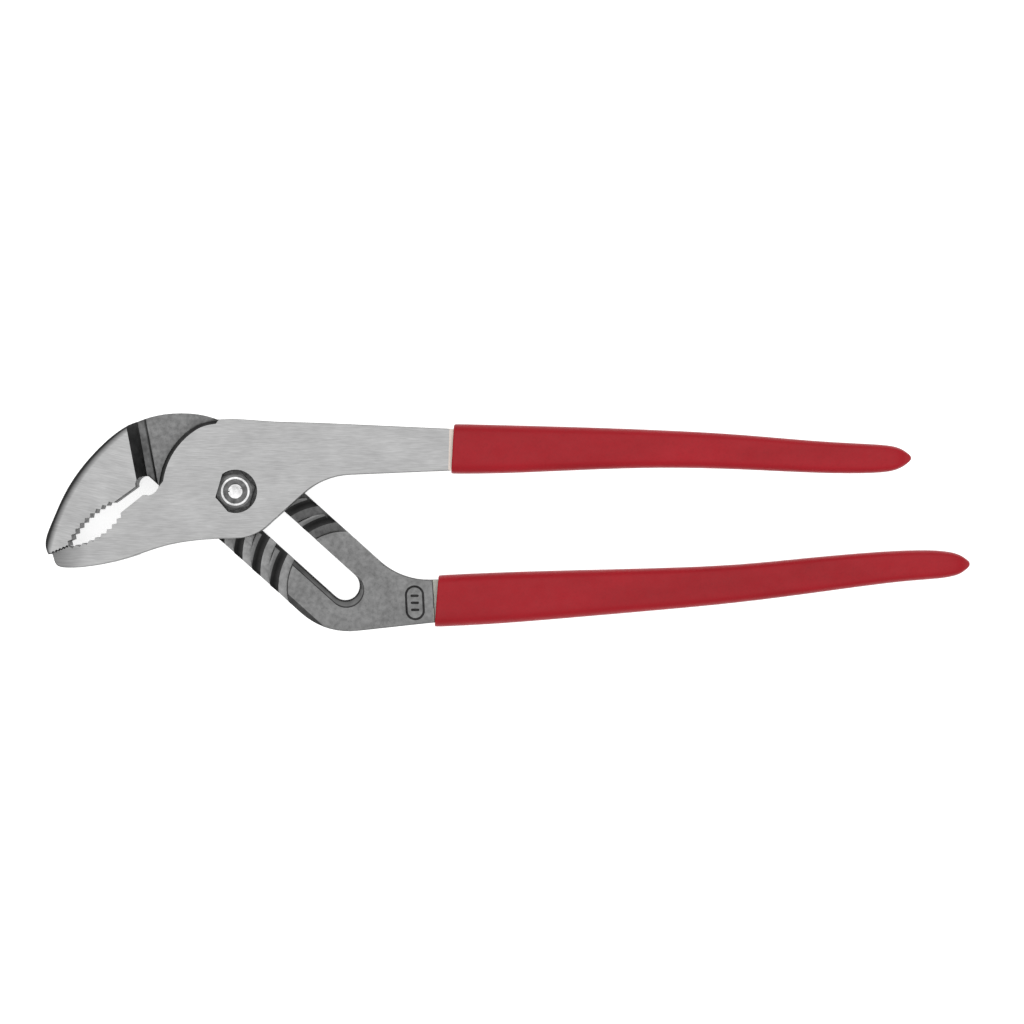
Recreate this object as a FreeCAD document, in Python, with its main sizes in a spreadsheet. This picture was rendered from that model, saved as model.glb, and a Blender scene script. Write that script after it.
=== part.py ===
"""Tongue and groove pliers, 10 inch, lying flat with the jaws closed on the first groove.

Frame: the origin is on the pivot axis at the underside of the bolt head.  +Z is up, +X runs from
the jaws to the handles and +Y from the lower handle to the upper one.  Millimetres throughout.

The rear lever carries the upper jaw, the slotted and grooved neck and the lower handle.  The front
lever lies on top of it and carries the lower jaw, the joint plate with the tongue under it and the
upper handle.  A bolt, a keyed washer and a nut hold the two together through the slot.
"""
import FreeCAD, Part
import math
import os

V = FreeCAD.Vector
doc = FreeCAD.newDocument("pliers")

# ---------------------------------------------------------------- driving dimensions
DIMENSIONS = [
    # name, value, meaning
    ("rear_back", 1.4, "height of the rear lever's back face"),
    ("lever_thick", 5.5, "thickness of each lever where the two lie on each other"),
    ("lever_gap", 0.06, "play between the two levers"),
    ("slot_angle", 42.0, "slope of the slot below the handles' direction, degrees"),
    ("pitch", 6.65, "distance between two grooves, along the slot"),
    ("groove_count", 7, "number of grooves"),
    ("groove_inner", 16.0, "radius of a groove's load wall about the bolt"),
    ("groove_floor", 2.4, "width of a groove's flat floor"),
    ("groove_slope", 2.8, "width of a groove's sloping side"),
    ("groove_depth", 2.3, "depth of a groove below the neck"),
    ("groove_sweep", 124.0, "angle that a groove spans about the bolt, degrees"),
    ("tongue_play", 0.08, "play between the tongue and its groove"),
    ("tongue_centre", 10.0, "turn of the tongue's middle from the slot's line, degrees"),
    ("tongue_sweep", 60.0, "angle that the tongue spans about the bolt, degrees"),
    ("slot_width", 8.0, "width of the slot through the neck"),
    ("slot_shift", 0.6, "offset of the slot's middle from the bolt's path"),
    ("slot_start", -0.4, "middle of the slot's first end, along the slot"),
    ("slot_end", 39.4, "middle of the slot's far end, along the slot"),
    ("rim_width", 9.8, "width of the chamfered mouth of the slot"),
    ("rim_end", 40.5, "middle of the mouth's far end, along the slot"),
    ("rim_depth", 1.1, "depth of the mouth's chamfer"),
    ("track_width", 13.8, "width of the washer's track behind the slot"),
    ("track_depth", 1.55, "depth of the track"),
    ("washer_length", 15.6, "length of the keyed washer along the track"),
    ("washer_thick", 0.95, "thickness of the keyed washer"),
    ("track_play", 0.05, "play between washer, track and bolt head"),
    ("neck_upper", 12.0, "distance from the bolt's path to the neck's upper edge"),
    ("neck_lower", 13.1, "distance from the bolt's path to the neck's lower edge"),
    ("lobe_radius", 21.1, "radius of the joint plate's rounded corner about the pivot"),
    ("plate_radius", 12.85, "radius of the joint plate below the pivot"),
    ("jaw_swing", 80.0, "angle that the front lever opens, degrees"),
    ("head_radius", 6.4, "radius of the bolt head"),
    ("head_thick", 1.9, "thickness of the bolt head"),
    ("shank_radius", 3.2, "radius of the bolt's shank"),
    ("thread_radius", 3.0, "radius of the bolt's threaded end"),
    ("bolt_top", 13.1, "height of the bolt's upset end"),
    ("nut_flats", 9.5, "width of the nut across its flats"),
    ("nut_thick", 3.3, "thickness of the nut"),
    ("nut_turn", 163.6, "direction of the pocket's keying flat, degrees"),
    ("pocket_radius", 5.95, "radius of the nut's pocket"),
    ("pocket_depth", 2.9, "depth of the nut's pocket"),
    ("tooth_depth", 0.8, "depth of the pipe teeth"),
    ("tip_depth", 0.35, "depth of the fine teeth at the tips"),
    ("wall_run", 2.7, "width of the sloping wall behind the upper jaw"),
    ("wall_drop", 4.4, "height of that sloping wall"),
    ("ledge_run", 2.4, "width of the ledge at the foot of the wall"),
    ("ledge_height", 0.9, "height of the ledge above the neck"),
    ("edge_round", 0.8, "rounding of the forgings' outer edges"),
    ("seat_depth", 0.5, "how far the lower handle is set down under its sleeve"),
    ("panel_depth", 0.3, "depth of the oval panel's outline"),
    ("sleeve_half", 4.05, "half the thickness of a sleeve at its mouth"),
    ("sleeve_thins", 0.7, "how much of that half thickness is lost towards the tail"),
    ("tail_lift", 0.75, "how far the middle of a sleeve moves away from the other lever"),
    ("tail_thin", 1.5, "how much thinner the hidden tails of the handles are"),
]
sheet = doc.addObject("Spreadsheet::Sheet", "dimensions")
for row, (alias, value, meaning) in enumerate(DIMENSIONS, start=1):
    sheet.set(f"A{row}", meaning)
    sheet.set(f"B{row}", str(value))
    sheet.setAlias(f"B{row}", alias)
doc.recompute()


def dim(alias):
    """The value of one driving dimension."""
    return float(getattr(sheet, alias))


# Heights that follow from the driving dimensions
REAR_TOP = "(dimensions.rear_back + dimensions.lever_thick)"
FRONT_BACK = f"({REAR_TOP} + dimensions.lever_gap)"
FRONT_TOP = f"({FRONT_BACK} + dimensions.lever_thick)"
rear_top = dim("rear_back") + dim("lever_thick")
front_back = rear_top + dim("lever_gap")
front_top = front_back + dim("lever_thick")
slope = math.radians(dim("slot_angle"))


def on_neck(along, across):
    """A point from its place along the slot from the pivot, and across it."""
    return V(along * math.cos(slope) + across * math.sin(slope),
             across * math.cos(slope) - along * math.sin(slope), 0)


def polar(radius, degrees):
    """A point from its distance and direction from the pivot."""
    turn = math.radians(degrees)
    return V(radius * math.cos(turn), radius * math.sin(turn), 0)


# ---------------------------------------------------------------- sketch and feature helpers
def chain(*corners):
    """Straight lines through the corners."""
    return [Part.LineSegment(a, b) for a, b in zip(corners, corners[1:])]


def arc(start, middle, end):
    return [Part.Arc(start, middle, end)]


def curve(*points, leaving=None, arriving=None):
    """One smooth curve through the points, with set directions at its ends if they are given."""
    spline = Part.BSplineCurve()
    ends = {}
    if leaving:
        ends["InitialTangent"] = leaving
    if arriving:
        ends["FinalTangent"] = arriving
    if len(ends) == 1:
        free = points[1] - points[0] if arriving else points[-1] - points[-2]
        ends["InitialTangent" if arriving else "FinalTangent"] = free.normalize()
    spline.interpolate(Points=list(points), **ends)
    return [spline]


def path(*stops):
    """Straight runs whose corners are rounded; a rounded corner is given as (corner, radius)."""
    corners = [stop if isinstance(stop, tuple) else (stop, 0) for stop in stops]
    edges, reached = [], corners[0][0]
    for index in range(1, len(corners)):
        corner, radius = corners[index]
        if radius:
            before = (corner - corners[index - 1][0]).normalize()
            after = (corners[index + 1][0] - corner).normalize()
            turn = before.getAngle(after)
            start = corner - before * (radius * math.tan(turn / 2))
            end = corner + after * (radius * math.tan(turn / 2))
            towards = (after - before).normalize()
            middle = corner + towards * (radius / math.cos(turn / 2) - radius)
            edges += chain(reached, start) + arc(start, middle, end)
            reached = end
        else:
            edges += chain(reached, corner)
            reached = corner
    return edges


def toothed(start, middle, end, count, depth):
    """Saw teeth cut outwards from a hollow arc, with their crests on the arc."""
    hollow = Part.Arc(start, middle, end).toShape()
    centre, radius = hollow.Curve.Center, hollow.Curve.Radius
    first, last = hollow.FirstParameter, hollow.LastParameter
    if (hollow.valueAt(first) - start).Length > (hollow.valueAt(last) - start).Length:
        first, last = last, first
    corners = []
    for step in range(2 * count + 1):
        point = hollow.valueAt(first + (last - first) * step / (2 * count))
        if step % 2:
            point = centre + (point - centre) * ((radius + depth) / radius)
        corners.append(point)
    corners[0], corners[-1] = start, end
    return chain(*corners)


def serrated(start, end, count, depth, side):
    """Fine teeth along a straight edge, cut towards the left (+1) or the right (-1) of it."""
    along = end - start
    away = V(-along.y, along.x, 0).normalize() * depth * side
    corners = [start + along * (step / (2 * count)) + (away if step % 2 else V())
               for step in range(2 * count + 1)]
    return chain(*corners)


def stadium(first, last, width):
    """A round-ended slot between the middles of its two ends."""
    ahead = (last - first).normalize() * (width / 2)
    aside = V(-ahead.y, ahead.x, 0)
    return (chain(first + aside, last + aside) + arc(last + aside, last + ahead, last - aside)
            + chain(last - aside, first - aside)
            + arc(first - aside, first - ahead, first + aside))


def new_body(label):
    body = doc.addObject("PartDesign::Body", label)
    body.Label = label
    return body


def plane_of(body, role):
    return next(item for item in body.Origin.OriginFeatures if item.Role == role)


def sketch_on(body, name, edges, height=None, role="XY_Plane", offset=None):
    """A sketch on one of the body's own planes, raised to a height given as an expression."""
    sketch = body.newObject("Sketcher::SketchObject", f"{body.Name}_{name}")
    sketch.AttachmentSupport = (plane_of(body, role), [""])
    sketch.MapMode = "FlatFace"
    if offset:
        sketch.AttachmentOffset = offset
    if height:
        sketch.setExpression(".AttachmentOffset.Base.z", height)
    sketch.addGeometry(edges, False)
    doc.recompute()
    return sketch


def feature(body, kind, name, sketch, **settings):
    """A sketch feature; sizes given as text are bound as expressions."""
    made = body.newObject(f"PartDesign::{kind}", f"{body.Name}_{name}")
    made.Profile = sketch
    for key, value in settings.items():
        if isinstance(value, str) and key != "Type":
            made.setExpression(key, value)
        else:
            setattr(made, key, value)
    doc.recompute()
    body.Tip = made
    return made


def dress(body, kind, name, edge, **settings):
    """A fillet or chamfer on one edge of the body's last feature."""
    base = body.Tip
    number = next(i for i, other in enumerate(base.Shape.Edges, start=1) if other.isSame(edge))
    made = body.newObject(f"PartDesign::{kind}", f"{body.Name}_{name}")
    made.Base = (base, [f"Edge{number}"])
    for key, value in settings.items():
        if isinstance(value, str) and key != "ChamferType":
            made.setExpression(key, value)
        else:
            setattr(made, key, value)
    doc.recompute()
    body.Tip = made
    return made


def longest_edge(body, height, straight=False):
    """The longest edge that a body has at a height, among the straight ones only if asked."""
    level = [edge for edge in body.Tip.Shape.Edges
             if abs(edge.BoundBox.ZMin - height) < 1e-3 and abs(edge.BoundBox.ZMax - height) < 1e-3
             and (not straight or isinstance(edge.Curve, Part.Line))]
    return max(level, key=lambda edge: edge.Length)


# ---------------------------------------------------------------- jaw profile shared by both levers
TIP = V(-51.25, -17.3, 0)          # where the upper jaw ends
LOWER_TIP = V(-50.1, -16.82, 0)    # where the lower jaw ends, a little behind it
BITE = V(-45.6, -14.9, 0)          # where the pipe teeth begin
part_line = V(0, 0.04, 0)          # half the gap between the closed jaws
TIP_TEETH = 6
PIPE_TEETH = 9
PAST = 240                         # well past the ends of both handles

# ---------------------------------------------------------------- rear lever
# One forging: full-thickness jaw, thin neck with slot and grooves, and the lower handle.
rear = new_body("rear_lever")
hidden_run = on_neck(-9.3, dim("neck_upper"))
upper_bend, lower_bend = on_neck(49.9, dim("neck_upper")), on_neck(44.2, -dim("neck_lower"))
throat_run = on_neck(-20.6, -dim("neck_lower"))
relief_upper = V(-27.3, 1.3, 0)
mouth_upper = V(-33.4, -3.1, 0)
rear_outline = (
    curve(TIP + part_line, V(-52.0, -14.6, 0), V(-50.6, -9.3, 0), V(-45.9, 0.9, 0),
          V(-37.9, 11.3, 0), V(-29.9, 17.8, 0), V(-21.7, 20.9, 0), V(-15.0, 21.5, 0),
          V(-8.6, 20.8, 0), hidden_run)
    + path(hidden_run, (upper_bend, 20), (V(105, -23.1, 0), 300), (V(150, -20.9, 0), 300),
           (V(191, -18.1, 0), 1.9), (V(191, -22.0, 0), 1.9), (V(150, -27.6, 0), 300),
           (V(105, -32.3, 0), 300), (V(54.4, -36.0, 0), 200), (lower_bend, 20),
           throat_run)
    + arc(throat_run, V(-26.6, 3.6, 0), relief_upper) + chain(relief_upper, mouth_upper)
    + toothed(mouth_upper, V(-40.6, -7.9, 0), BITE + part_line, PIPE_TEETH, dim("tooth_depth"))
    + serrated(BITE + part_line, TIP + part_line, TIP_TEETH, dim("tip_depth"), -1)
)
feature(rear, "Pad", "blank", sketch_on(rear, "outline", rear_outline, "dimensions.rear_back"),
        Length=f"{FRONT_TOP} - dimensions.rear_back")

# Behind the jaw the forging steps down, first to a narrow ledge and then to the neck
step_head, step_foot = V(-30.7, 22.5, 0), V(-26.2, -1.0, 0)
far_corners = (V(-20.0, -60, 0), V(PAST, -60, 0), V(PAST, 22.5, 0))
across_wall = V(dim("wall_run"), 0, 0)
across_ledge = V(dim("wall_run") + dim("ledge_run"), 0, 0)


def behind(offset):
    """Everything behind the jaw's step, moved along by an offset."""
    return chain(step_head + offset, step_foot + offset, *far_corners, step_head + offset)


feature(rear, "Pocket", "wall_cut",
        sketch_on(rear, "wall_line", behind(across_wall), FRONT_TOP),
        Length=f"{FRONT_TOP} - {REAR_TOP} - dimensions.ledge_height")
feature(rear, "Pocket", "ledge_cut",
        sketch_on(rear, "ledge_line", behind(across_ledge), FRONT_TOP),
        Length=f"{FRONT_TOP} - {REAR_TOP}")
# The wall behind the jaw slopes, and the jaw's outer edge is rounded
dress(rear, "Chamfer", "wall_slope", longest_edge(rear, front_top, straight=True),
      ChamferType="Two distances", Size="dimensions.wall_drop", Size2="dimensions.wall_run")
dress(rear, "Fillet", "jaw_round", longest_edge(rear, front_top), Radius="dimensions.edge_round")

# Grooves: one load wall, floor and slope turned about the bolt, then repeated along the slot
along_slot = FreeCAD.Placement(V(), FreeCAD.Rotation(V(0, 1, 0), -dim("slot_angle")))
inner = dim("groove_inner")
floor_edge = inner + dim("groove_floor")
outer = floor_edge + dim("groove_slope")
groove_bottom = rear_top - dim("groove_depth")
above_neck = rear_top + 0.4
groove_profile = chain(V(-inner, above_neck, 0), V(-inner, groove_bottom, 0),
                       V(-floor_edge, groove_bottom, 0), V(-outer, rear_top, 0),
                       V(-outer, above_neck, 0), V(-inner, above_neck, 0))
groove_sketch = sketch_on(rear, "groove_profile", groove_profile, role="XZ_Plane",
                          offset=along_slot)
groove = feature(rear, "Groove", "first_groove", groove_sketch,
                 ReferenceAxis=(groove_sketch, ["V_Axis"]), Midplane=True,
                 Angle="dimensions.groove_sweep")
grooves = rear.newObject("PartDesign::LinearPattern", "rear_lever_grooves")
grooves.Originals = [groove]
grooves.Direction = (groove_sketch, ["H_Axis"])
grooves.setExpression("Occurrences", "dimensions.groove_count")
grooves.setExpression("Length", "dimensions.pitch * (dimensions.groove_count - 1)")
rear.Tip = grooves
doc.recompute()

# Slot with a chamfered mouth, and the washer's track behind it
slot_path = (on_neck(dim("slot_start"), dim("slot_shift")), on_neck(dim("slot_end"), dim("slot_shift")))
feature(rear, "Pocket", "slot",
        sketch_on(rear, "slot_outline", stadium(*slot_path, dim("slot_width")), FRONT_TOP),
        Type="ThroughAll")
rim_path = (on_neck(dim("slot_start"), 0), on_neck(dim("rim_end"), 0))
rim = rear.newObject("PartDesign::SubtractiveLoft", "rear_lever_slot_rim")
rim.Profile = sketch_on(rear, "rim_top", stadium(*rim_path, dim("rim_width")), REAR_TOP)
rim.Sections = [sketch_on(rear, "rim_foot", stadium(*slot_path, dim("slot_width")),
                          f"{REAR_TOP} - dimensions.rim_depth")]
rear.Tip = rim
doc.recompute()
travel = dim("pitch") * (dim("groove_count") - 1)
washer_reach = (dim("washer_length") - dim("track_width")) / 2
track_path = (on_neck(-washer_reach - 0.4, 0), on_neck(travel + washer_reach + 0.4, 0))
feature(rear, "Pocket", "track",
        sketch_on(rear, "track_outline", stadium(*track_path, dim("track_width")),
                  "dimensions.rear_back"),
        Length="dimensions.track_depth", Reversed=True)

# The handle is set down a little where the sleeve covers it, and thins towards its end
seat_edge = arc(V(53.4, -20.0, 0), V(54.15, -30.5, 0), V(54.5, -40.0, 0))
feature(rear, "Pocket", "sleeve_seat",
        sketch_on(rear, "seat_outline", seat_edge
                  + chain(V(54.5, -40.0, 0), V(PAST, -40, 0), V(PAST, -10, 0), V(53.4, -10, 0),
                          V(53.4, -20.0, 0)), REAR_TOP),
        Length="dimensions.seat_depth")
tail_top = rear_top - dim("tail_thin")
feature(rear, "Pocket", "tail",
        sketch_on(rear, "tail_side", chain(V(90, rear_top + 1, 0), V(90, rear_top, 0),
                                           V(150, tail_top, 0), V(PAST, tail_top, 0),
                                           V(PAST, rear_top + 1, 0), V(90, rear_top + 1, 0)),
                  role="XZ_Plane"),
        Midplane=True, Length=200)

# A plain oval maker's panel with three blank bars in it
panel_centre, panel_up = V(48.9, -30.6, 0), V(-0.1, 2.15, 0)
panel = stadium(panel_centre + panel_up, panel_centre - panel_up, 5.3)
panel += stadium(panel_centre + panel_up, panel_centre - panel_up, 4.1)
for place in (-1, 0, 1):
    middle = panel_centre + panel_up * (place * 0.9)
    panel += stadium(middle - V(0.8, 0, 0), middle + V(0.8, 0, 0), 0.7)
feature(rear, "Pocket", "panel", sketch_on(rear, "panel_outline", panel, REAR_TOP),
        Length="dimensions.panel_depth")

# ---------------------------------------------------------------- front lever
# One forging on top of the neck: lower jaw, joint plate with the tongue, and the upper handle.
front = new_body("front_lever")
lobe = dim("lobe_radius")
plate = dim("plate_radius")
mouth_lower = V(-31.4, -5.9, 0)
relief_lower = V(-25.3, -1.0, 0)
lobe_start, lobe_end = polar(lobe, 177), polar(lobe, 122)
handle_top, handle_foot = V(28.6, 18.5, 0), V(59.4, 17.1, 0)
plate_start = polar(plate, dim("slot_angle") - 90)
plate_run = V(-plate_start.y, plate_start.x, 0) * (1 / plate)
lower_corner = plate_start + plate_run * ((4.25 - plate_start.y) / plate_run.y)
front_outline = (
    serrated(LOWER_TIP - part_line, BITE - part_line, TIP_TEETH, dim("tip_depth"), -1)
    + toothed(BITE - part_line, V(-37.6, -12.2, 0), mouth_lower, PIPE_TEETH, dim("tooth_depth"))
    + chain(mouth_lower, relief_lower)
    + arc(relief_lower, V(-22.9, -0.85, 0), lobe_start)
    + arc(lobe_start, polar(lobe, 150), lobe_end)
    + curve(lobe_end, V(-4.4, 19.7, 0), V(8.0, 19.25, 0), handle_top,
            leaving=V(lobe_end.y, -lobe_end.x, 0).normalize(),
            arriving=(handle_foot - handle_top).normalize())
    + path(handle_top, (handle_foot, 300), (V(94, 16.0, 0), 300), (V(127, 14.7, 0), 200),
           (V(160, 11.8, 0), 200), (V(175.5, 11.1, 0), 2.0), (V(175.5, 6.9, 0), 2.0),
           (V(160, 6.4, 0), 200), (V(127, 8.4, 0), 200), (V(94, 7.6, 0), 300),
           (V(59.2, 5.7, 0), 300), (lower_corner, 20), plate_start)
    + arc(plate_start, polar(plate, -65), polar(plate, -90))
    + curve(polar(plate, -90), V(-9.7, -13.3, 0), V(-19.5, -14.9, 0), V(-29.3, -18.1, 0),
            V(-39.2, -20.4, 0), V(-45.3, -20.9, 0), V(-48.9, -20.1, 0), LOWER_TIP - part_line,
            leaving=V(-1, 0, 0))
)
feature(front, "Pad", "blank", sketch_on(front, "outline", front_outline, "dimensions.rear_back"),
        Length=f"{FRONT_TOP} - dimensions.rear_back")

# Only the jaw is full thickness, and only where it stays clear of the neck as the handles open
jaw_keep = dim("neck_lower") + 0.5
swing = dim("jaw_swing")
to_jaw = 180 - dim("slot_angle")
notch = polar(jaw_keep / math.cos(math.radians(swing / 2)), to_jaw + 90 - swing / 2)
notch_upper = notch + polar(60, to_jaw)
notch_lower = notch + polar(60, to_jaw + 180 - swing)
jaw_back = chain(notch_upper, notch, notch_lower, V(PAST, -80, 0), V(PAST, 60, 0), notch_upper)
feature(front, "Pocket", "step",
        sketch_on(front, "step_outline", jaw_back, "dimensions.rear_back"),
        Length=f"{FRONT_BACK} - dimensions.rear_back", Reversed=True)
# The tongue under the plate fits the groove behind the bolt
play = dim("tongue_play")
towards_tongue = FreeCAD.Placement(
    V(), FreeCAD.Rotation(V(0, 1, 0), dim("tongue_centre") - dim("slot_angle")))
tongue_foot = groove_bottom + 0.1
tongue_root = front_back + 0.3
tongue_profile = chain(V(-inner - play, tongue_root, 0), V(-inner - play, tongue_foot, 0),
                       V(-floor_edge + 0.05, tongue_foot, 0), V(-outer + 0.15, rear_top, 0),
                       V(-outer + 0.15, tongue_root, 0), V(-inner - play, tongue_root, 0))
tongue_sketch = sketch_on(front, "tongue_profile", tongue_profile, role="XZ_Plane",
                          offset=towards_tongue)
feature(front, "Revolution", "tongue", tongue_sketch,
        ReferenceAxis=(tongue_sketch, ["V_Axis"]), Midplane=True,
        Angle="dimensions.tongue_sweep")

# The nut's pocket: a round recess with two flats, of which one keys the nut
recess = dim("pocket_radius")
key_flat, key_turn = dim("nut_flats") / 2 + 0.04, dim("nut_turn")
wall_flat, wall_turn = 5.2, key_turn + 57.5
key_start = polar(recess, key_turn - math.degrees(math.acos(key_flat / recess)))
wall_end = polar(recess, wall_turn + math.degrees(math.acos(wall_flat / recess)))
between = math.radians(wall_turn - key_turn)
reach = (wall_flat - key_flat * math.cos(between)) / math.sin(between)
key_normal = polar(1, key_turn)
key_corner = key_normal * key_flat + V(-key_normal.y, key_normal.x, 0) * reach
pocket = chain(key_start, key_corner, wall_end) + arc(wall_end, polar(recess, 0), key_start)
feature(front, "Pocket", "nut_pocket", sketch_on(front, "pocket_outline", pocket, FRONT_TOP),
        Length="dimensions.pocket_depth")
bolt_hole = [Part.Circle(V(), V(0, 0, 1), dim("shank_radius") + 0.05)]
feature(front, "Pocket", "bolt_hole", sketch_on(front, "hole", bolt_hole, FRONT_TOP),
        Type="ThroughAll")
tail_under = front_back + dim("tail_thin")
feature(front, "Pocket", "tail",
        sketch_on(front, "tail_side",
                  chain(V(90, front_back - 1, 0), V(90, front_back, 0),
                        V(140, tail_under, 0), V(PAST, tail_under, 0),
                        V(PAST, front_back - 1, 0), V(90, front_back - 1, 0)),
                  role="XZ_Plane"),
        Midplane=True, Length=200)

# ---------------------------------------------------------------- bolt, washer and nut
bolt = new_body("pivot_bolt")
head, shank, thread = dim("head_radius"), dim("shank_radius"), dim("thread_radius")
head_top, bolt_top = dim("head_thick"), dim("bolt_top")
pocket_floor = front_top - dim("pocket_depth")
bolt_side = chain(
    V(0, 0, 0), V(head - 1.1, 0, 0), V(head, 0.7, 0), V(head, head_top, 0),
    V(shank, head_top, 0), V(shank, pocket_floor, 0), V(thread, pocket_floor, 0),
    V(thread, bolt_top - 0.8, 0), V(thread - 0.5, bolt_top - 0.5, 0), V(2.1, bolt_top - 0.5, 0),
    V(2.1, bolt_top - 0.2, 0), V(1.5, bolt_top, 0), V(0, bolt_top, 0), V(0, 0, 0))
bolt_sketch = sketch_on(bolt, "side", bolt_side, role="XZ_Plane")
feature(bolt, "Revolution", "turned", bolt_sketch, ReferenceAxis=(bolt_sketch, ["V_Axis"]),
        Angle=360)

nut = new_body("pivot_nut")
nut_corner = dim("nut_flats") / math.sqrt(3)
hexagon = chain(*[polar(nut_corner, dim("nut_turn") + 30 + 60 * k) for k in range(6)],
                polar(nut_corner, dim("nut_turn") + 30))
nut_foot = f"{FRONT_TOP} - dimensions.pocket_depth"
feature(nut, "Pad", "blank", sketch_on(nut, "hexagon", hexagon, nut_foot),
        Length="dimensions.nut_thick")
nut_top = pocket_floor + dim("nut_thick")
feature(nut, "Pocket", "thread",
        sketch_on(nut, "thread_circle", [Part.Circle(V(), V(0, 0, 1), thread + 0.03)],
                  f"{nut_foot} + dimensions.nut_thick"),
        Type="ThroughAll")
corner_sketch = sketch_on(nut, "corner_cut",
                          chain(V(4.3, nut_top + 0.2, 0), V(4.3, nut_top, 0),
                                V(nut_corner + 0.3, nut_top - 0.9, 0),
                                V(nut_corner + 0.3, nut_top + 0.2, 0), V(4.3, nut_top + 0.2, 0)),
                          role="XZ_Plane")
feature(nut, "Groove", "corners", corner_sketch, ReferenceAxis=(corner_sketch, ["V_Axis"]),
        Angle=360)

washer = new_body("slide_washer")
washer_foot = "dimensions.head_thick + dimensions.track_play"
washer_width = dim("track_width") - 2 * dim("track_play")
key_reach = (dim("washer_length") - washer_width) / 2
washer_outline = stadium(on_neck(-key_reach, 0), on_neck(key_reach, 0), washer_width)
washer_outline += [Part.Circle(V(), V(0, 0, 1), shank + 0.05)]
feature(washer, "Pad", "blank", sketch_on(washer, "outline", washer_outline, washer_foot),
        Length="dimensions.washer_thick")


# ---------------------------------------------------------------- dipped sleeves
def sleeve(name, lever, stations, mouth_tilt, mid_height, lift, tail_from, tail_to):
    """A vinyl sleeve lofted over its stations, less the handle that it was dipped on.

    A station is a distance along the handle, the sleeve's middle there and half its width.
    The sleeve is thinner towards its tail and its middle moves by lift on the way.
    """
    coat = new_body(name + "_coat")
    rings = []
    for index, (along, middle, half_width) in enumerate(stations):
        share = min(max((along - tail_from) / (tail_to - tail_from), 0), 1)
        half_thick = min(dim("sleeve_half") - dim("sleeve_thins") * share, half_width * 1.05)
        height = mid_height + lift * share
        low, high = height - half_thick, height + half_thick
        bend = 0.8 * min(half_thick, half_width)
        ring = path(V(0, low, 0), (V(half_width, low, 0), bend), (V(half_width, high, 0), bend),
                    (V(-half_width, high, 0), bend), (V(-half_width, low, 0), bend), V(0, low, 0))
        tilt = mouth_tilt if index == 0 else 0
        place = FreeCAD.Placement(V(middle, 0, along), FreeCAD.Rotation(V(0, 1, 0), tilt))
        rings.append(sketch_on(coat, f"ring_{index}", ring, role="YZ_Plane", offset=place))
    loft = coat.newObject("PartDesign::AdditiveLoft", name + "_loft")
    loft.Profile = rings[0]
    loft.Sections = rings[1:]
    loft.Ruled = True
    coat.Tip = loft
    doc.recompute()
    made = doc.addObject("Part::Cut", name)
    made.Base = coat
    made.Tool = lever
    made.Label = name
    doc.recompute()
    return made


upper_grip = sleeve(
    "upper_grip", front,
    ((59.7, 11.65, 6.85), (72.3, 11.5, 6.7), (94.2, 11.75, 5.9), (116.2, 11.75, 5.1),
     (138.1, 10.9, 4.8), (160.0, 9.2, 4.35), (176.4, 8.9, 4.05), (181.9, 9.05, 3.0),
     (185.0, 9.1, 0.6)),
    -3.3, (front_back + front_top) / 2, dim("tail_lift"), 90, 150)
lower_grip = sleeve(
    "lower_grip", rear,
    ((55.0, -30.15, 7.15), (72.3, -29.35, 7.15), (94.3, -28.1, 6.5), (116.4, -26.9, 5.8),
     (138.4, -25.5, 5.2), (160.5, -22.8, 4.95), (182.5, -20.4, 4.3), (193.5, -20.1, 4.0),
     (199.1, -20.1, 2.9), (201.9, -20.0, 0.6)),
    -4.4, (dim("rear_back") + rear_top) / 2, -dim("tail_lift"), 90, 150)

# ---------------------------------------------------------------- checks and files
doc.recompute()
for item in doc.Objects:
    if "Invalid" in item.State or "Error" in item.State:
        raise RuntimeError(f"{item.Label} failed: {item.State}")
os.makedirs("parts", exist_ok=True)
for piece in (rear, front, bolt, nut, washer, upper_grip, lower_grip):
    shape = piece.Shape
    if shape.isNull() or not shape.isValid() or len(shape.Solids) != 1:
        raise RuntimeError(f"{piece.Label} isn't one valid solid")
    shape.exportStep(f"parts/{piece.Label}.step")
    kept = Part.read(f"parts/{piece.Label}.step")
    if not kept.isValid() or abs(kept.Volume - shape.Volume) > 0.002 * shape.Volume:
        raise RuntimeError(f"{piece.Label} doesn't read back as it was written")
    print(f"{piece.Label}: {shape.Volume:.0f} mm3")
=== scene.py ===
import bmesh
import bpy
import math
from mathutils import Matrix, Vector


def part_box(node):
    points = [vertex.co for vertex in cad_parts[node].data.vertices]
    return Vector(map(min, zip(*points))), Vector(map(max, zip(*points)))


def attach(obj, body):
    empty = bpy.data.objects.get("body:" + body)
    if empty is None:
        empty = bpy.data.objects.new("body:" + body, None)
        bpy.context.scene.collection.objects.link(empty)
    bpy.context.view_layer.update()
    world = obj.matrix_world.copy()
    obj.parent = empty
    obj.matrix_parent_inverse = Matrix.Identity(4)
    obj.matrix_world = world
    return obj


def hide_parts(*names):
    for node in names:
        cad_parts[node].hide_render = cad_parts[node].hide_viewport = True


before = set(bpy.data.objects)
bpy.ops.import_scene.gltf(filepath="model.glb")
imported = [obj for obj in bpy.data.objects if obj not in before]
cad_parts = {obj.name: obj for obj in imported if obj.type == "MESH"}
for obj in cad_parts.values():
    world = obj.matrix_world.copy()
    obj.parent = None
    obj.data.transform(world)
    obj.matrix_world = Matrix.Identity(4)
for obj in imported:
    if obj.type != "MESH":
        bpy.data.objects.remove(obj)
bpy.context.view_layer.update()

# ---------------------------------------------------------------- rear lever
# One steel drop forging: the upper jaw, the grooved neck with its slot, and the lower handle.
# It is blasted to an even matte grey and the flat of the jaw is ground bright.  The grooves are
# broached, which leaves grey floors between slopes whose black is painted shade.
MM = 0.001
SLOT_ANGLE = math.radians(42)
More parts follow.
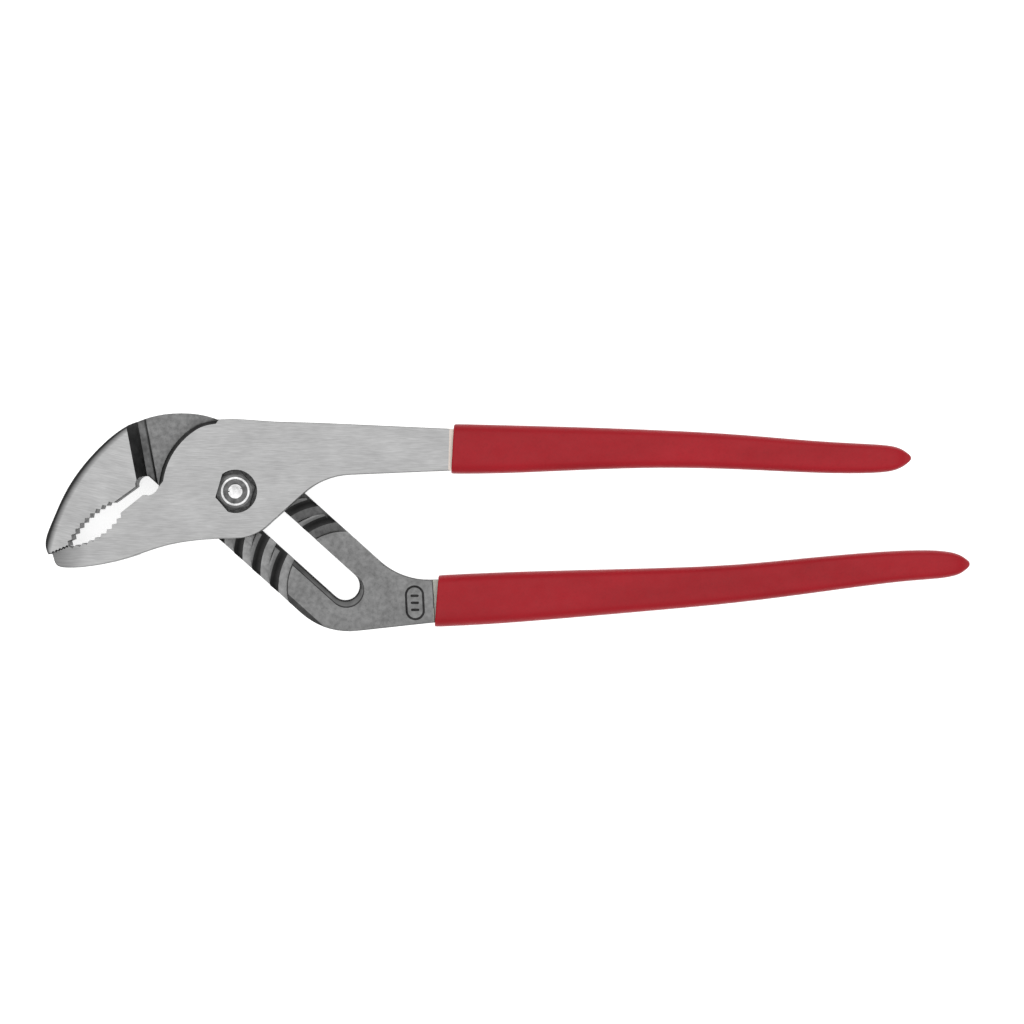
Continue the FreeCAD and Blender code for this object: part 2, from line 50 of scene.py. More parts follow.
rear_low, rear_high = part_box("rear_lever")
REAR_TOP = 6.9 * MM                       # the neck's upper face
GROOVE_FLOOR, GROOVE_PITCH, GROOVE_COUNT = 4.6 * MM, 6.65 * MM, 7
GROOVE_INNER = 16.0 * MM                  # radius of a groove's load wall about the bolt's place
CHAMFER_ACROSS = 11.55 * MM               # where the neck's lower chamfer starts, off the slot
CHAMFER_FALL = 0.8                        # how far the chamfer drops for each step outwards
JAW_ARC = (4.69 * MM, -28.75 * MM, 0), 57.88 * MM   # centre and radius of the jaw's outer edge
PANEL = Vector((48.9 * MM, -30.6 * MM, 0))          # middle of the oval panel on the handle


def forging(node, name):
    """A piece made from a CAD lever, with whole faces in place of its loose triangles."""
    piece = bpy.data.objects.new(name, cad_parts[node].data.copy())
    bpy.context.scene.collection.objects.link(piece)
    bpy.ops.object.select_all(action="DESELECT")
    piece.select_set(True)
    bpy.context.view_layer.objects.active = piece
    bpy.ops.object.mode_set(mode="EDIT")
    bpy.ops.mesh.select_all(action="SELECT")
    bpy.ops.mesh.remove_doubles(threshold=0.002 * MM)
    bpy.ops.mesh.customdata_custom_splitnormals_clear()
    bpy.ops.mesh.dissolve_limited(angle_limit=math.radians(0.5), delimit={"NORMAL"})
    bpy.ops.object.mode_set(mode="OBJECT")
    piece.data.materials.clear()
    return piece


def pick_faces(piece, wanted):
    """Selects, in edit mode, the faces that pass the test."""
    bpy.ops.mesh.select_mode(type="FACE")
    bpy.ops.mesh.select_all(action="DESELECT")
    shape = bmesh.from_edit_mesh(piece.data)
    for face in shape.faces:
        if wanted(face.calc_center_median(), face.normal):
            face.select_set(True)
    bmesh.update_edit_mesh(piece.data)


def round_edges(piece, width, wanted):
    """Rounds the sharp edges of a piece whose two ends both pass the test."""
    bpy.ops.object.mode_set(mode="EDIT")
    bpy.ops.mesh.select_mode(type="EDGE")
    bpy.ops.mesh.select_all(action="DESELECT")
    shape = bmesh.from_edit_mesh(piece.data)
    for edge in shape.edges:
        if edge.calc_face_angle(0) > math.radians(40) and all(wanted(end.co) for end in edge.verts):
            edge.select_set(True)
    bmesh.update_edit_mesh(piece.data)
    bpy.ops.mesh.bevel(offset=width, segments=2, clamp_overlap=False, affect="EDGES")
    bpy.ops.object.mode_set(mode="OBJECT")


def finish_faces(piece, materials, choose):
    """Gives each face the material that the test names, and softens the shading of round faces."""
    names = list(materials)
    for name in names:
        piece.data.materials.append(materials[name])
    for face in piece.data.polygons:
        face.material_index = names.index(choose(face.center, face.normal))
    bpy.ops.object.select_all(action="DESELECT")
    piece.select_set(True)
    bpy.context.view_layer.objects.active = piece
    bpy.ops.object.shade_smooth_by_angle(angle=math.radians(50))
    shading = piece.modifiers.new("flat_faces_stay_flat", "WEIGHTED_NORMAL")
    shading.keep_sharp = True
    bpy.ops.object.modifier_apply(modifier=shading.name)


def near(value, target, slack=0.03 * MM):
    return abs(value - target) < slack


def along_slot(point):
    """Distance of a point from the pivot along the slot, and across it."""
    return (point.x * math.cos(SLOT_ANGLE) - point.y * math.sin(SLOT_ANGLE),
            point.x * math.sin(SLOT_ANGLE) + point.y * math.cos(SLOT_ANGLE))


def new_material(name, roughness, metallic=1.0):
    """An empty material, its shader and the tools to wire patterns into it."""
    material = bpy.data.materials.new(name)
    material.use_nodes = True
    shader = material.node_tree.nodes["Principled BSDF"]
    shader.inputs["Metallic"].default_value = metallic
    shader.inputs["Roughness"].default_value = roughness
    return material, shader


def grain(material, size, stretch=1.0, turn=0.0, detail=3.0):
    """Noise whose specks are size metres across and stretch times as long, turned in the XY plane."""
    nodes, links = material.node_tree.nodes, material.node_tree.links
    place = nodes.new("ShaderNodeTexCoord")
    mapping = nodes.new("ShaderNodeMapping")
    mapping.vector_type = "TEXTURE"
    mapping.inputs["Rotation"].default_value = (0, 0, math.radians(turn))
    mapping.inputs["Scale"].default_value = (size * stretch, size, size)
    texture = nodes.new("ShaderNodeTexNoise")
    texture.inputs["Scale"].default_value = 1.0
    texture.inputs["Detail"].default_value = detail
    links.new(place.outputs["Object"], mapping.inputs["Vector"])
    links.new(mapping.outputs["Vector"], texture.inputs["Vector"])
    return texture.outputs["Fac"]


def ramp(material, pattern, low, high, start=0.3, end=0.7):
    """Spreads a pattern from one colour or grey level to another."""
    node = material.node_tree.nodes.new("ShaderNodeValToRGB")
    for stop, level, place in zip(node.color_ramp.elements, (low, high), (start, end)):
        stop.position = place
        stop.color = (*level, 1) if isinstance(level, tuple) else (level, level, level, 1)
    material.node_tree.links.new(pattern, node.inputs["Fac"])
    return node.outputs["Color"]


def multiply(material, first, second, share=1.0):
    node = material.node_tree.nodes.new("ShaderNodeMix")
    node.data_type = "RGBA"
    node.blend_type = "MULTIPLY"
    node.inputs["Factor"].default_value = share
    material.node_tree.links.new(first, node.inputs["A"])
    material.node_tree.links.new(second, node.inputs["B"])
    return node.outputs["Result"]


def bump(material, shader, pattern, strength, depth):
    node = material.node_tree.nodes.new("ShaderNodeBump")
    node.inputs["Strength"].default_value = strength
    node.inputs["Distance"].default_value = depth
    material.node_tree.links.new(pattern, node.inputs["Height"])
    material.node_tree.links.new(node.outputs["Normal"], shader.inputs["Normal"])


def forged_skin(name, low, high, roughness=0.5):
    """Blasted forging: cloudy grey, finely pitted."""
    material, shader = new_material(name, roughness)
    links = material.node_tree.links
    clouds = ramp(material, grain(material, 5 * MM), low, high)
    specks = ramp(material, grain(material, 0.4 * MM, detail=4), 0.85, 1.0, 0.3, 0.5)
    links.new(multiply(material, clouds, specks), shader.inputs["Base Color"])
    links.new(ramp(material, grain(material, 1.2 * MM), roughness - 0.1, roughness + 0.12),
              shader.inputs["Roughness"])
    bump(material, shader, grain(material, 0.4 * MM, detail=4), 0.3, 0.03 * MM)
    return material


def stretch_between(material, value, start, end, level):
    """A grey that rises from a level to full while a value goes from start to end."""
    spread = material.node_tree.nodes.new("ShaderNodeMapRange")
    spread.inputs["From Min"].default_value, spread.inputs["From Max"].default_value = start, end
    material.node_tree.links.new(value, spread.inputs["Value"])
    return ramp(material, spread.outputs["Result"], level, 1.0, 0.0, 1.0)


def place_along(material, axis):
    """The X, Y or Z place of a point on the piece."""
    nodes, links = material.node_tree.nodes, material.node_tree.links
    place = nodes.new("ShaderNodeTexCoord")
    parts = nodes.new("ShaderNodeSeparateXYZ")
    links.new(place.outputs["Object"], parts.inputs["Vector"])
    return parts.outputs[axis]


def place_from(material, centre):
    """The distance of a point on the piece from an upright axis."""
    nodes, links = material.node_tree.nodes, material.node_tree.links
    place = nodes.new("ShaderNodeTexCoord")
    flat = nodes.new("ShaderNodeVectorMath")
    flat.operation = "MULTIPLY"
    flat.inputs[1].default_value = (1, 1, 0)
    reach = nodes.new("ShaderNodeVectorMath")
    reach.operation = "DISTANCE"
    reach.inputs[1].default_value = centre
    links.new(place.outputs["Object"], flat.inputs[0])
    links.new(flat.outputs["Vector"], reach.inputs[0])
    return reach.outputs["Value"]


def ground_steel(name, low, high, turn, shade):
    """Surface-ground steel: fine straight scratches over faint clouds, darkened by a given painted
    shade.
    """
    material, shader = new_material(name, 0.3)
    links = material.node_tree.links
    clouds = ramp(material, grain(material, 5 * MM, stretch=1.6, turn=turn), low, high)
    scratches = ramp(material, grain(material, 0.22 * MM, stretch=14, turn=turn, detail=4), 0.8, 1.0)
    tone = multiply(material, clouds, scratches)
    links.new(multiply(material, tone, shade(material)), shader.inputs["Base Color"])
    links.new(ramp(material, grain(material, 0.35 * MM, stretch=10, turn=turn), 0.28, 0.42),
              shader.inputs["Roughness"])
    bump(material, shader, grain(material, 0.14 * MM, stretch=20, turn=turn, detail=4), 0.3,
         0.02 * MM)
    return material


rear = forging("rear_lever", "rear_forging")


def neck_outline(point):
    """The neck's and handle's outer edges past the last groove, and the back's outer edges."""
    along, across = along_slot(point)
    by_slot = abs(across) < 8 * MM and -12 * MM < along < 50 * MM
    by_panel = abs(point.x - PANEL.x) < 3.5 * MM and abs(point.y - PANEL.y - 0.2 * MM) < 5.4 * MM
    by_teeth = point.x < -22 * MM and point.y < 1.05 * point.x + 37.5 * MM
    if near(point.z, REAR_TOP):
        return along > 30.5 * MM and not by_slot and not by_panel
    return near(point.z, rear_low.z) and not by_slot and not by_teeth


def on_neck_chamfer(point):
    """The flat that runs from the last groove along the neck's lower edge into its bend."""
    along, across = along_slot(point)
    return across < -CHAMFER_ACROSS and 28 * MM < along < 44 * MM


bpy.ops.object.mode_set(mode="EDIT")
pick_faces(rear, lambda place, normal: near(place.z, REAR_TOP) and normal.z > 0.99)
across_slot = Vector((math.sin(SLOT_ANGLE), math.cos(SLOT_ANGLE), 0))
bpy.ops.mesh.bisect(plane_co=-CHAMFER_ACROSS * across_slot, plane_no=across_slot)
bpy.ops.object.mode_set(mode="OBJECT")
for vertex in rear.data.vertices:
    if near(vertex.co.z, REAR_TOP) and on_neck_chamfer(vertex.co):
        vertex.co.z += CHAMFER_FALL * (along_slot(vertex.co)[1] + CHAMFER_ACROSS)


def groove_edge(point):
    """The sharp top edge of each groove's load wall, an arc around the bolt."""
    along, across = along_slot(point)
    return near(point.z, REAR_TOP, 0.5 * MM) and any(
        near(math.hypot(along - number * GROOVE_PITCH, across), GROOVE_INNER, 0.5 * MM)
        and along < number * GROOVE_PITCH for number in range(GROOVE_COUNT))


def wide_land(point):
    """The part of a load wall's top edge behind which the land is wide enough to be rounded."""
    along, across = along_slot(point)
    last_groove = along > (GROOVE_COUNT - 1) * GROOVE_PITCH - GROOVE_INNER - 0.1 * MM
    return near(point.z, REAR_TOP) and groove_edge(point) and (last_groove or abs(across) < 8.8 * MM)


LEDGE_TOP = REAR_TOP + 0.9 * MM           # the low step between the neck and the jaw's wall
JAW_FACE = rear_high.z - 0.02 * MM
JAW_ROUNDING = 1.5 * MM
PRIMED_FROM = 54 * MM                     # the handle is set down and primed under its sleeve
round_edges(rear, 0.35 * MM, wide_land)
round_edges(rear, 0.3 * MM, neck_outline)
round_edges(rear, 0.55 * MM, lambda point: near(point.z, LEDGE_TOP) and point.x < -15 * MM)


def rear_finish(place, normal):
    """Names the finish of a face by where it lies on the forging."""
    along, across = along_slot(place)
    grooved = along < 24.5 * MM and place.x > -25.5 * MM and place.z > rear_low.z + 1.7 * MM
    if place.z > JAW_FACE - JAW_ROUNDING and normal.z > 0.25 and normal.x < 0.3:
        return "jaw_face"
    # Painted shade: the jaw's step wall facing +x, the neck's chamfer and the load walls' top edges
    # are all painted near black.
    if place.x < -15 * MM and place.z > REAR_TOP + 0.1 * MM and normal.z < 0.95 and normal.x > 0.3:
        return "wall_painted_shade"
    if place.x > PRIMED_FROM and place.z > 2 * MM and normal.z > 0.9:
        return "primer"
    in_panel = abs(place.x - PANEL.x) < 3.2 * MM and abs(place.y - PANEL.y) < 5.2 * MM
    if in_panel and rear_low.z + 2 * MM < place.z < REAR_TOP - 0.05 * MM:
        return "panel"
    if on_neck_chamfer(place) and place.z > GROOVE_FLOOR + 0.8 * MM and 0.3 < normal.z < 0.95:
        return "wall_painted_shade"
    # Painted shade: the floors on one side of the slot are a darker copy of the same grey.
    if near(place.z, GROOVE_FLOOR, 0.1 * MM) and normal.z > 0.95:
        return "groove_floor" if across < 0 else "groove_floor_painted_shade"
    if REAR_TOP + 0.3 * MM < place.z < JAW_FACE - JAW_ROUNDING and normal.z > 0.9:
        return "ledge"
    if near(place.z, REAR_TOP, 0.45 * MM) and 0.1 < normal.z < 0.97 and groove_edge(place):
        return "wall_painted_shade"
    if GROOVE_FLOOR < place.z < REAR_TOP - 0.05 * MM and 0.3 < normal.z < 0.95:
        return "slot_rim" if place.z > REAR_TOP - 1.0 * MM and not grooved else "groove_slope"
    return "forged"


def primer(name, low, high):
    """Dull bonding primer that shows as a thin strip before the sleeve."""
    material, shader = new_material(name, 0.6, metallic=0.0)
    material.node_tree.links.new(ramp(material, grain(material, 0.6 * MM, stretch=0.4), low, high),
                                 shader.inputs["Base Color"])
    bump(material, shader, grain(material, 0.4 * MM), 0.3, 0.03 * MM)
    return material


def jaw_edge_painted_shade(material):
    """Painted shade on the jaw's rounded outer edge, which makes it darker than its flat."""
    centre, radius = JAW_ARC
    return stretch_between(material, place_from(material, centre), radius,
                           radius - JAW_ROUNDING, 0.1)


def groove_side(name):
    """A groove's slope: painted shade keeps it black below, with a painted lit strip of grey along
    its top.
    """
    material, shader = new_material(name, 0.45)
    links = material.node_tree.links
    specks = ramp(material, grain(material, 0.4 * MM, detail=4), 0.8, 1.0)
    # painted shade over the slope's lower part, lifted to its own grey only along the top as painted
    # light
    painted_shade_and_lit_top = stretch_between(material, place_along(material, "Z"), REAR_TOP - 0.5 * MM,
                           REAR_TOP - 0.35 * MM, 0.18)
    shade = multiply(material, ramp(material, grain(material, 3 * MM), 0.13, 0.17), painted_shade_and_lit_top)
    links.new(multiply(material, shade, specks), shader.inputs["Base Color"])
    return material


def rolled_rim(name):
    """The slot's dished rim: grey, with painted shade darkening its foot and its lip."""
    material, shader = new_material(name, 0.5)
    links = material.node_tree.links
    rubbed = ramp(material, grain(material, 3 * MM), 0.07, 0.11)
    # painted shade in the rim's foot and along its lip
    foot_painted_shade = stretch_between(material, place_along(material, "Z"), REAR_TOP - 0.9 * MM,
                           REAR_TOP - 0.8 * MM, 0.3)
    lip = stretch_between(material, place_along(material, "Z"), REAR_TOP - 0.15 * MM,
                          REAR_TOP - 0.25 * MM, 0.3)
    links.new(multiply(material, multiply(material, rubbed, foot_painted_shade), lip),
              shader.inputs["Base Color"])
    return material


finish_faces(rear, {
    "forged": forged_skin("forged_grey", 0.12, 0.155),
    # painted shade along the jaw's rounded outer edge
    "jaw_face": ground_steel("ground_jaw", 0.23, 0.27, -12, jaw_edge_painted_shade),
    # painted shade on walls, the neck's chamfer and the load walls' top edges
    "wall_painted_shade": forged_skin("painted_shade_black", 0.035, 0.075),
    "groove_floor": forged_skin("groove_floor_grey", 0.14, 0.18, roughness=0.42),
    "groove_floor_painted_shade": forged_skin("groove_floor_painted_shade", 0.055, 0.08, roughness=0.42),
    "groove_slope": groove_side("groove_side"),
    "ledge": forged_skin("ledge_grey", 0.045, 0.11),
    "slot_rim": rolled_rim("rolled_rim"),
    "panel": forged_skin("panel_black", 0.015, 0.03),
    "primer": primer("grey_primer", (0.24, 0.24, 0.21), (0.34, 0.34, 0.30)),
}, rear_finish)
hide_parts("rear_lever")
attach(rear, "rear")

# ---------------------------------------------------------------- lower sleeve
# A seamless sleeve of red vinyl.  The hot handle is dipped into liquid plastisol and cured, so the
# coat hugs the steel, starts with a soft square lip, and ends in the drip that hung off the tail.
SLEEVE_WALL = 1.36 * MM
LIP = 0.9 * MM                            # length of the square lip at the mouth
MOUTH_THICK, TAIL_THICK = 8.1 * MM, 6.7 * MM
THINS_FROM, THINS_TO = 90 * MM, 150 * MM  # the handles thin and move apart on this stretch
APART = 0.75 * MM


def vinyl():
    """Semi-gloss dipped vinyl with a faint orange peel."""
    material, shader = new_material("red_vinyl", 0.4, metallic=0.0)
    links = material.node_tree.links
    shader.inputs["Specular IOR Level"].default_value = 0.15
    colour = ramp(material, grain(material, 12 * MM, stretch=3), (0.21, 0.003, 0.007),
                  (0.27, 0.005, 0.011))
    flecks = ramp(material, grain(material, 0.5 * MM, detail=4), 0.9, 1.0, 0.3, 0.55)
    links.new(multiply(material, colour, flecks), shader.inputs["Base Color"])
    links.new(ramp(material, grain(material, 3 * MM), 0.36, 0.5), shader.inputs["Roughness"])
    bump(material, shader, grain(material, 1.1 * MM, detail=2), 0.25, 0.05 * MM)
    return material


def draw_out(before, after):
    """Extrudes the picked end of a sleeve from one ring to the next.

    A ring is its place along the handle, its middle there, its height, and its half width and half
    thickness.
    """
    step = [b - a for a, b in zip(before[:3], after[:3])]
    bpy.ops.mesh.extrude_region_move(TRANSFORM_OT_translate={"value": step})
    bpy.ops.transform.resize(value=(1, after[3] / before[3], after[4] / before[4]),
                             center_override=after[:3])


def dipped_sleeve(name, stations, tilt, height, lift):
    """A sleeve drawn out from its lip to its drip, then hollowed from its mouth.

    A station is a distance along the handle, the sleeve's middle there and half its width.
    """
    rings = []
    for along, middle, half_width in stations:
        share = min(max((along * MM - THINS_FROM) / (THINS_TO - THINS_FROM), 0), 1)
        thick = MOUTH_THICK + (TAIL_THICK - MOUTH_THICK) * share
        half_thick = min(thick / 2, half_width * MM * 1.05)
        rings.append((along * MM, middle * MM, height + lift * share, half_width * MM, half_thick))
    mouth = rings[0]
    lip = (mouth[0] + LIP, *mouth[1:])
    bpy.ops.object.select_all(action="DESELECT")
    bpy.ops.mesh.primitive_cube_add(size=2, location=(mouth[0] + LIP / 2, mouth[1], mouth[2]),
                                    scale=(LIP / 2, mouth[3], mouth[4]))
    piece = bpy.context.active_object
    piece.name = name
    bpy.ops.object.transform_apply(location=True, rotation=True, scale=True)
    bpy.ops.object.mode_set(mode="EDIT")
    bpy.ops.mesh.select_mode(type="EDGE")
    bpy.ops.mesh.select_all(action="DESELECT")
    shape = bmesh.from_edit_mesh(piece.data)
    for edge in shape.edges:
        ends = [end.co.x for end in edge.verts]
        edge.select_set(abs(ends[0] - ends[1]) > LIP / 2)
    bmesh.update_edit_mesh(piece.data)
    bpy.ops.mesh.bevel(offset=0.75 * mouth[4], segments=3, affect="EDGES")
    pick_faces(piece, lambda place, normal: normal.x > 0.9)
    for before, after in zip([lip] + rings[1:-1], rings[1:]):
        draw_out(before, after)
    bpy.ops.mesh.merge(type="CENTER")
    pick_faces(piece, lambda place, normal: normal.x < -0.9)
    bpy.ops.mesh.inset(thickness=SLEEVE_WALL)
    steel = [(*ring[:3], ring[3] - SLEEVE_WALL, ring[4] - SLEEVE_WALL) for ring in rings[:-2]]
    for before, after in zip(steel, steel[1:]):
        draw_out(before, after)
    bpy.ops.object.mode_set(mode="OBJECT")
    for vertex in piece.data.vertices:
        if vertex.co.x < mouth[0] + LIP * 1.1:
            vertex.co.x += math.tan(math.radians(tilt)) * (mouth[1] - vertex.co.y)
    rounding = piece.modifiers.new("rounding", "SUBSURF")
    rounding.levels = rounding.render_levels = 2
    bpy.ops.object.modifier_apply(modifier=rounding.name)
    bpy.ops.object.shade_smooth()
    return piece


red_vinyl = vinyl()
lower_sleeve = dipped_sleeve(
    "lower_sleeve",
    ((54.75, -30.15, 7.15), (72.3, -29.35, 7.15), (94.3, -28.1, 6.5), (116.4, -26.9, 5.8),
     (138.4, -25.5, 5.2), (160.5, -22.8, 4.95), (182.5, -20.4, 4.3), (193.5, -20.1, 4.0),
     (198.6, -20.1, 3.1), (200.8, -20.05, 1.5), (201.7, -20.0, 0.7), (201.88, -20.0, 0.3)),
    tilt=-4.4, height=(rear_low.z + REAR_TOP) / 2, lift=-APART)
lower_sleeve.data.materials.append(red_vinyl)
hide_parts("lower_grip")
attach(lower_sleeve, "rear")

# ---------------------------------------------------------------- keyed washer
# A stamped washer with two long flats, which runs in the track behind the slot.  It is plain
# steel, blackened and oiled, and the bolt is pushed through it before the front lever goes on.
def oiled_steel(name, low, high, roughness):
    """Machined steel under a thin film of oil, with faint turning marks."""
    material, shader = new_material(name, roughness)
    links = material.node_tree.links
    film = ramp(material, grain(material, 2.5 * MM), low, high)
    marks = ramp(material, grain(material, 0.3 * MM, detail=4), 0.75, 1.0)
    links.new(multiply(material, film, marks), shader.inputs["Base Color"])
    links.new(ramp(material, grain(material, 0.8 * MM), roughness - 0.08, roughness + 0.1),
              shader.inputs["Roughness"])
    bump(material, shader, grain(material, 0.25 * MM, detail=3), 0.25, 0.02 * MM)
    return material


black_oiled = oiled_steel("black_oiled", 0.06, 0.12, roughness=0.4)
for material_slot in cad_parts["slide_washer"].material_slots:
    material_slot.material = black_oiled

# ---------------------------------------------------------------- pivot bolt
# A turned bolt with a low round head that lies on the washer.  Its threaded end stands out of the
# nut and is peened over with a hammer, which leaves an uneven bright button.
bolt_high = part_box("pivot_bolt")[1]
front_low, front_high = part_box("front_lever")
nut_low, nut_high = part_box("pivot_nut")
HEAD_RADIUS, HEAD_THICK, HEAD_CHAMFER = bolt_high.x, 1.9 * MM, 0.7 * MM
SHANK_RADIUS, THREAD_RADIUS, BUTTON_RADIUS = 3.2 * MM, 3.0 * MM, 2.15 * MM


def ring_up(rise, inwards):
    """Draws the picked round face up, then steps in to a smaller one."""
    if rise:
        bpy.ops.mesh.extrude_region_move(TRANSFORM_OT_translate={"value": (0, 0, rise)})
    if inwards:
        bpy.ops.mesh.inset(thickness=inwards)


bpy.ops.object.select_all(action="DESELECT")
bpy.ops.mesh.primitive_cylinder_add(vertices=64, radius=HEAD_RADIUS, depth=HEAD_THICK,
                                    location=(0, 0, HEAD_THICK / 2))
bolt = bpy.context.active_object
bolt.name = "peened_bolt"
bpy.ops.object.transform_apply(location=True, rotation=True, scale=True)
bpy.ops.object.mode_set(mode="EDIT")
pick_faces(bolt, lambda place, normal: normal.z < -0.9)
bpy.ops.mesh.bevel(offset=HEAD_CHAMFER, segments=3, affect="EDGES")
pick_faces(bolt, lambda place, normal: normal.z > 0.9)
ring_up(0, HEAD_RADIUS - SHANK_RADIUS)
ring_up(nut_low.z - HEAD_THICK, SHANK_RADIUS - THREAD_RADIUS)
ring_up(nut_high.z - nut_low.z - 0.5 * MM, 0.25 * MM)
ring_up(0.15 * MM, THREAD_RADIUS - 0.25 * MM - BUTTON_RADIUS)
ring_up(0.3 * MM, 0.2 * MM)
ring_up(0.15 * MM, 0.4 * MM)
ring_up(0.04 * MM, 0.5 * MM)
bpy.ops.mesh.inset(thickness=0.5 * MM)
bpy.ops.mesh.poke()
bpy.ops.object.mode_set(mode="OBJECT")
hammered = bpy.data.textures.new("hammer_marks", "CLOUDS")
hammered.noise_scale = 1.3 * MM
group = bolt.vertex_groups.new(name="button")
button_from = nut_high.z - 0.1 * MM
group.add([v.index for v in bolt.data.vertices if v.co.z > button_from], 1.0, "REPLACE")
dents = bolt.modifiers.new("dents", "DISPLACE")
dents.texture, dents.strength, dents.mid_level = hammered, 0.35 * MM, 0.75
dents.direction, dents.vertex_group = "Z", group.name
bpy.ops.object.modifier_apply(modifier=dents.name)


def bolt_finish(place, normal):
    return "button" if place.z > button_from + 0.05 * MM else "turned"


finish_faces(bolt, {"turned": oiled_steel("bolt_black", 0.03, 0.06, roughness=0.4),
                    "button": oiled_steel("peened_bright", 0.32, 0.6, roughness=0.26)}, bolt_finish)
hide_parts("pivot_bolt")
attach(bolt, "front")

# ---------------------------------------------------------------- front lever
# The second forging lies on the neck: lower jaw, joint plate with its tongue, and upper handle.
# Its whole upper face is surface ground, which leaves fine scratches along the tool, and the bare
# end that goes into the sleeve is primed.
PRIMER_FROM = 58.35 * MM
POCKET_RADIUS = 6.2 * MM
FRONT_BACK, FRONT_TOP = 6.96 * MM, front_high.z
LOBE_ROUNDING = 1.15 * MM
front = forging("front_lever", "front_forging")


def front_outline(point):
    """The outer edges of the front lever, clear of its teeth, its pocket and its tongue."""
    by_teeth = point.x < -21.5 * MM and point.y > -17.9 * MM + 0.25 * (point.x + 46 * MM)
    if near(point.z, FRONT_TOP):
        return not by_teeth and point.xy.length > POCKET_RADIUS
    return not by_teeth and (near(point.z, front_low.z) or
                             (near(point.z, FRONT_BACK) and point.x > 15 * MM))


def lobe_edge(point):
    """The plate's rounded corner behind the upper jaw, whose wide rounding is painted black as
    shadow.
    """
    turn = math.degrees(math.atan2(point.y, point.x))
    return near(point.z, FRONT_TOP) and 100 < turn < 177.5 and point.xy.length > 19 * MM


round_edges(front, LOBE_ROUNDING, lobe_edge)
round_edges(front, 0.25 * MM, lambda point: front_outline(point) and not lobe_edge(point))
bpy.ops.object.mode_set(mode="EDIT")
bpy.ops.mesh.select_all(action="SELECT")
bpy.ops.mesh.bisect(plane_co=(PRIMER_FROM, 11.6 * MM, 0), plane_no=(1, -0.03, 0))
bpy.ops.object.mode_set(mode="OBJECT")


def tip_painted_shade(material):
    """Painted shade: the lower jaw darkens over its last few millimetres."""
    return stretch_between(material, place_along(material, "X"), front_low.x,
                           front_low.x + 10 * MM, 0.4)


def front_finish(place, normal):
    """Names the finish of a face by where it lies on the lever."""
    if place.x > PRIMER_FROM:
        return "primer"
    if place.xy.length < POCKET_RADIUS and near(place.z, nut_low.z, 0.2 * MM):
        return "pocket"
    # Painted shade: the pocket's walls are painted near black.
    if place.xy.length < POCKET_RADIUS and place.z > nut_low.z:
        return "pocket_wall_shade"
    # Painted shadow: the lobe's wide rounding is painted near black.
    if lobe_edge(Vector((place.x, place.y, FRONT_TOP))) and 0.05 < normal.z < 0.95:
        return "lobe_shadow"
    return "ground" if place.z > FRONT_TOP - 0.2 * MM and normal.z > 0.3 else "forged"


finish_faces(front, {
    "forged": forged_skin("front_forged_grey", 0.13, 0.17),
    # painted shade towards the lower jaw's tip
    "ground": ground_steel("ground_plate", 0.235, 0.265, 0, tip_painted_shade),
    "lobe_shadow": forged_skin("painted_lobe_shadow", 0.015, 0.035),
    "pocket": forged_skin("pocket_grey", 0.05, 0.08, roughness=0.45),
    "pocket_wall_shade": forged_skin("pocket_painted_shade", 0.02, 0.04, roughness=0.45),
    "primer": primer("tan_primer", (0.46, 0.39, 0.34), (0.56, 0.49, 0.44)),
}, front_finish)
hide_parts("front_lever")
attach(front, "front")

# ---------------------------------------------------------------- pivot nut
# A hexagon nut screwed down on the bolt's end and keyed by the flat of its pocket.  A turned collar
# stands on its top and is polished; the rest of the nut stays grey.
COLLAR_OUTER, COLLAR_INNER, COLLAR_DEPTH = 4.0 * MM, 3.3 * MM, 0.25 * MM
nut = forging("pivot_nut", "hexagon_nut")
bpy.ops.object.select_all(action="DESELECT")
bpy.ops.mesh.primitive_cylinder_add(vertices=64, radius=COLLAR_OUTER, depth=0.4 * MM,
                                    location=(0, 0, nut_high.z - 0.05 * MM))
collar = bpy.context.active_object
bpy.ops.object.transform_apply(location=True, rotation=True, scale=True)
bpy.ops.object.mode_set(mode="EDIT")
pick_faces(collar, lambda place, normal: normal.z > 0.9)
bpy.ops.mesh.inset(thickness=COLLAR_OUTER - COLLAR_INNER)
bpy.ops.mesh.extrude_region_move(TRANSFORM_OT_translate={"value": (0, 0, -COLLAR_DEPTH)})
bpy.ops.mesh.inset(thickness=COLLAR_INNER - THREAD_RADIUS - 0.03 * MM)
bpy.ops.object.mode_set(mode="OBJECT")
collar_top = max(vertex.co.z for vertex in collar.data.vertices)
round_edges(collar, 0.12 * MM, lambda point: near(point.z, collar_top))
nut.select_set(True)
bpy.context.view_layer.objects.active = nut
bpy.ops.object.join()


def nut_finish(place, normal):
    return "ring" if place.z > nut_high.z + 0.02 * MM and normal.z > 0.2 else "chamfer"


finish_faces(nut, {"chamfer": oiled_steel("nut_grey", 0.04, 0.12, roughness=0.35),
                   "ring": oiled_steel("nut_bright", 0.28, 0.6, roughness=0.3)}, nut_finish)
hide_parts("pivot_nut")
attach(nut, "front")

# ---------------------------------------------------------------- upper sleeve
# The upper handle is dipped in the same bath as the lower one.  Its sleeve is shorter and narrower,
# and ends in a drip of its own.
upper_sleeve = dipped_sleeve(
    "upper_sleeve",
    ((59.25, 11.65, 6.85), (72.3, 11.5, 6.7), (94.2, 11.75, 5.9), (116.2, 11.75, 5.1),
     (138.1, 10.9, 4.8), (160.0, 9.2, 4.35), (176.4, 8.9, 4.05), (181.4, 9.05, 3.2),
     (183.7, 9.1, 1.6), (184.75, 9.1, 0.7), (184.97, 9.1, 0.3)),
    tilt=-3.3, height=(FRONT_BACK + FRONT_TOP) / 2, lift=APART)
upper_sleeve.data.materials.append(red_vinyl)
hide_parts("upper_grip")
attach(upper_sleeve, "front")

